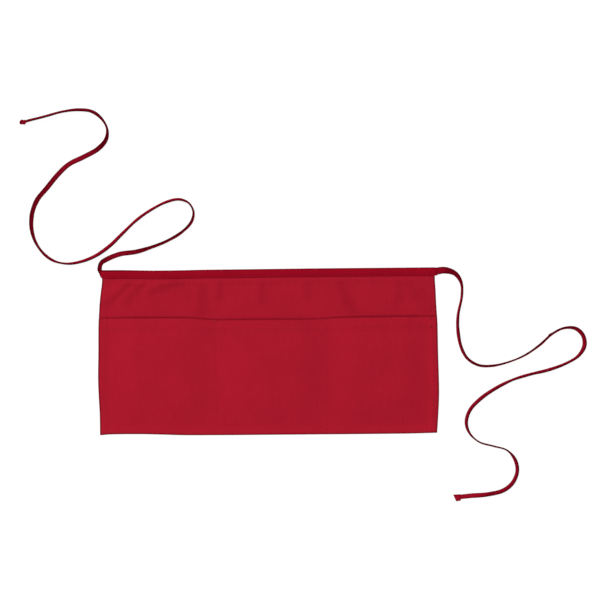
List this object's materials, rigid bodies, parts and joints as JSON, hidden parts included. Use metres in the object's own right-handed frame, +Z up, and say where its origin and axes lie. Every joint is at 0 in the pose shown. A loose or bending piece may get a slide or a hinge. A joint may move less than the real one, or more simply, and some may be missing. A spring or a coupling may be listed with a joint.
{
  "type": "waist apron",
  "caption": "Plain red waist apron lying flat, its cloth folded up from the bottom into open pockets, with a taped waistband running on into long loose ties.",
  "frame": {"origin": "middle of the apron's outline without its ties, on the surface that it lies on", "axes": "+X to the right across the apron, +Y from the bottom fold to the waistband, +Z up from the surface, the pocket side up"},
  "size_m": [1.0099, 0.7077, 0.0081],
  "materials": {
    "apron_cloth": "matt plain-woven cotton blend cloth in deep red",
    "waistband_tape": "matt woven binding tape, a little deeper red than the cloth",
    "tie_tape": "the same binding tape folded narrow, deep red"
  },
  "bodies": {
    "root": {"body_panel": "apron_cloth", "pocket_panel": "apron_cloth", "waistband": "waistband_tape", "tie_left": "tie_tape", "tie_left_knot": "tie_tape", "tie_right": "tie_tape"}
  },
  "joints": []
}
